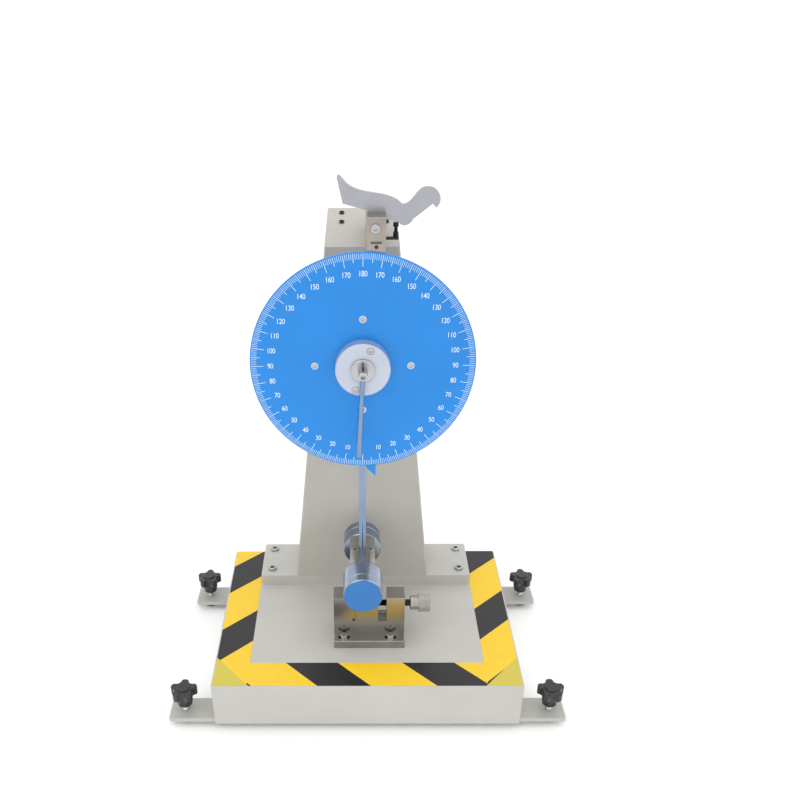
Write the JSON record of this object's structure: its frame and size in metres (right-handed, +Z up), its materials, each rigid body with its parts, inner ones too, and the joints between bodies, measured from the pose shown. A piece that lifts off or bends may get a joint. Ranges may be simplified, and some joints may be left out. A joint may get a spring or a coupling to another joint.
{
  "type": "pendulum impact tester",
  "caption": "Benchtop pendulum impact tester: tapered column, round angle dial with pointer, swinging hammer, release latch, specimen vise and levelling feet.",
  "frame": {"origin": "on the floor under the middle of the footprint", "axes": "+X to the right seen from the dial side, +Y to the back, +Z up along the column"},
  "size_m": [0.585, 0.35, 0.7494],
  "materials": {
    "base_paint": "satin",
    "column_paint": "satin",
    "foot_paint": "satin",
    "bar_paint": "satin",
    "rail_steel": "satin",
    "hazard_tape": "gloss",
    "pad_rubber": "matte",
    "stud_steel": "satin",
    "knob_plastic": "gloss",
    "screw_steel": "gloss",
    "dark_screw": "satin",
    "turned_steel": "satin",
    "polished_steel": "gloss",
    "weight_blue": "gloss",
    "dial_blue": "satin",
    "flange_white": "satin",
    "carrier_steel": "satin",
    "lever_steel": "satin",
    "vise_steel": "satin",
    "spring_black": "satin"
  },
  "bodies": {
    "frame": {"base_cover": "base_paint", "base_rails": "rail_steel", "front_cross_bar": "bar_paint", "rear_cross_bar": "bar_paint", "bar_screws": "screw_steel", "hazard_tape": "hazard_tape", "levelling_pads": "pad_rubber", "foot_plate": "foot_paint", "foot_screws": "screw_steel", "column_shell": "column_paint", "rear_cover": "column_paint", "rear_cover_screws": "dark_screw", "roof_screws": "dark_screw", "bearing_housing": "turned_steel", "housing_screws": "screw_steel", "rear_bearing": "turned_steel", "middle_bearing": "turned_steel", "front_bearing": "turned_steel", "scale_lug": "dial_blue", "dial_carrier": "carrier_steel", "carrier_spacers": "turned_steel", "dial": "dial_blue", "dial_screws": "screw_steel", "dial_flange": "flange_white", "flange_screws": "screw_steel", "latch_bracket": "carrier_steel", "front_cheek": "carrier_steel", "bracket_screw": "screw_steel", "pivot_pin": "screw_steel", "spring_anchor": "dark_screw", "return_spring": "spring_black", "vise_body": "vise_steel", "vise_bolts": "screw_steel"},
    "pendulum": {"pendulum_shaft": "polished_steel", "pendulum_hub": "turned_steel", "pendulum_rod": "polished_steel", "front_weight": "polished_steel", "rear_weight": "polished_steel", "weight_cap": "weight_blue", "hammer_bridge": "turned_steel", "bridge_screws": "screw_steel", "striker_blade": "turned_steel", "catch_pin": "turned_steel"},
    "pointer": {"pointer_hub": "turned_steel", "pointer_needle": "polished_steel", "pointer_collar": "turned_steel", "pointer_lock_pin": "dark_screw"},
    "release_lever": {"latch_lever": "lever_steel"},
    "moving_jaw": {"moving_jaw": "vise_steel"},
    "clamp_screw": {"vise_screw": "spring_black", "vise_knob": "vise_steel"},
    "levelling_knob_fl": {"levelling_stud_fl": "stud_steel", "star_knob_fl": "knob_plastic"},
    "levelling_knob_fr": {"levelling_stud_fr": "stud_steel", "star_knob_fr": "knob_plastic"},
    "levelling_knob_rl": {"levelling_stud_rl": "stud_steel", "star_knob_rl": "knob_plastic"},
    "levelling_knob_rr": {"levelling_stud_rr": "stud_steel", "star_knob_rr": "knob_plastic"}
  },
  "joints": [
    {"name": "pendulum_swing", "type": "hinge", "parent": "frame", "child": "pendulum", "pos_m": [-0.006, -0.035, 0.52], "axis": [0, -1, 0], "range_deg": [-156.4, 156.4]},
    {"name": "pointer_turn", "type": "hinge", "parent": "frame", "child": "pointer", "pos_m": [-0.006, -0.075, 0.52], "axis": [0, -1, 0], "continuous": true},
    {"name": "lever_release", "type": "hinge", "parent": "frame", "child": "release_lever", "pos_m": [0.009, -0.0225, 0.693], "axis": [0, -1, 0], "range_deg": [-2, 12], "stiffness_Nm_per_rad": 0.3, "springref_deg": -2.01, "deforming": ["return_spring"]},
    {"name": "jaw_slide", "type": "slide", "parent": "frame", "child": "moving_jaw", "axis": [1, 0, 0], "range_m": [0, 0.011]},
    {"name": "clamp_screw_turn", "type": "hinge", "parent": "moving_jaw", "child": "clamp_screw", "pos_m": [0.06, -0.055, 0.142], "axis": [1, 0, 0], "range_deg": [0, 2641]},
    {"name": "levelling_knob_fl_turn", "type": "hinge", "parent": "frame", "child": "levelling_knob_fl", "pos_m": [-0.2705, -0.1485, 0.03], "axis": [0, 0, 1], "continuous": true},
    {"name": "levelling_knob_fr_turn", "type": "hinge", "parent": "frame", "child": "levelling_knob_fr", "pos_m": [0.2705, -0.1485, 0.03], "axis": [0, 0, 1], "continuous": true},
    {"name": "levelling_knob_rl_turn", "type": "hinge", "parent": "frame", "child": "levelling_knob_rl", "pos_m": [-0.2705, 0.1365, 0.03], "axis": [0, 0, 1], "continuous": true},
    {"name": "levelling_knob_rr_turn", "type": "hinge", "parent": "frame", "child": "levelling_knob_rr", "pos_m": [0.2705, 0.1365, 0.03], "axis": [0, 0, 1], "continuous": true}
  ],
  "couplings": [
    {"joint": "clamp_screw_turn", "follows": "jaw_slide", "rad_per_m": 4188.8}
  ]
}
